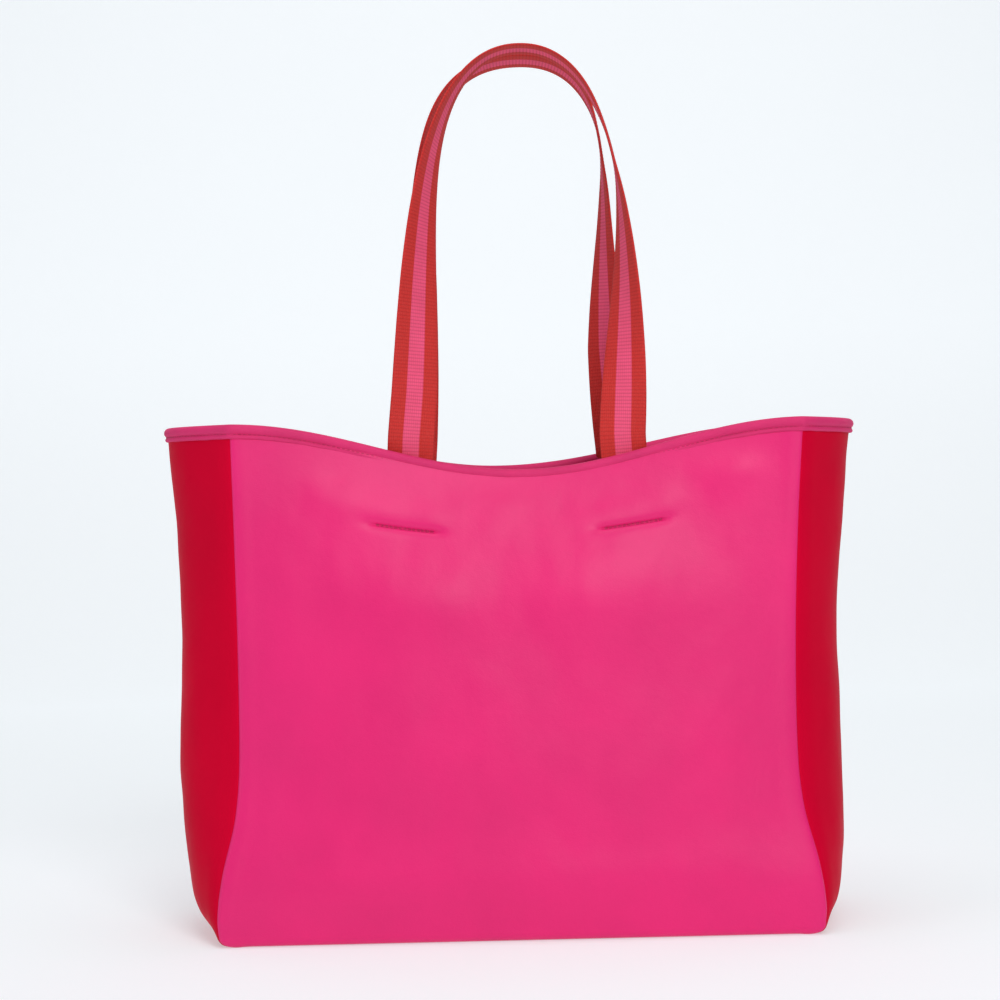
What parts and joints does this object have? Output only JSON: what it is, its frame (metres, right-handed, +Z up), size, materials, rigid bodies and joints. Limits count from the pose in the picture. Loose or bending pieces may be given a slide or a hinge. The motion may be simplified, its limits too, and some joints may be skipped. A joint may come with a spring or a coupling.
{
  "type": "beach bag",
  "caption": "Soft open-top neoprene tote with folding side gussets, a bound sagging rim, a flat base and two long webbing carry handles.",
  "frame": {"origin": "middle of the flat underside of the floor", "axes": "+Z up, the front faces -Y, +X to the right of someone who looks at the front"},
  "size_m": [0.4881, 0.158, 0.6145],
  "materials": {
    "neoprene_pink": "matte",
    "neoprene_red": "matte",
    "binding": "matte",
    "webbing": "matte",
    "thread": "satin",
    "board": "matte"
  },
  "bodies": {
    "bag": {"front_panel": "neoprene_pink", "back_panel": "neoprene_pink", "floor_panel": "neoprene_pink", "left_gusset": "neoprene_red", "right_gusset": "neoprene_red", "base_board": "board", "rim_binding": "binding", "front_right_seam_tape": "binding", "back_right_seam_tape": "binding", "back_left_seam_tape": "binding", "front_left_seam_tape": "binding", "floor_seam_tape": "binding", "front_left_strap_end": "webbing", "front_right_strap_end": "webbing", "back_left_strap_end": "webbing", "back_right_strap_end": "webbing", "front_left_tack": "thread", "front_right_tack": "thread", "back_left_tack": "thread", "back_right_tack": "thread", "rim_stitch_outside": "thread", "rim_stitch_inside": "thread"},
    "front_handle": {"front_handle": "webbing"},
    "back_handle": {"back_handle": "webbing"}
  },
  "joints": [
    {"name": "front_handle_swing", "type": "hinge", "parent": "bag", "child": "front_handle", "pos_m": [0, -0.0392, 0.341], "axis": [1, 0, 0], "range_deg": [0, 140]},
    {"name": "back_handle_swing", "type": "hinge", "parent": "bag", "child": "back_handle", "pos_m": [0, 0.0392, 0.341], "axis": [1, 0, 0], "range_deg": [-140, 0]}
  ]
}
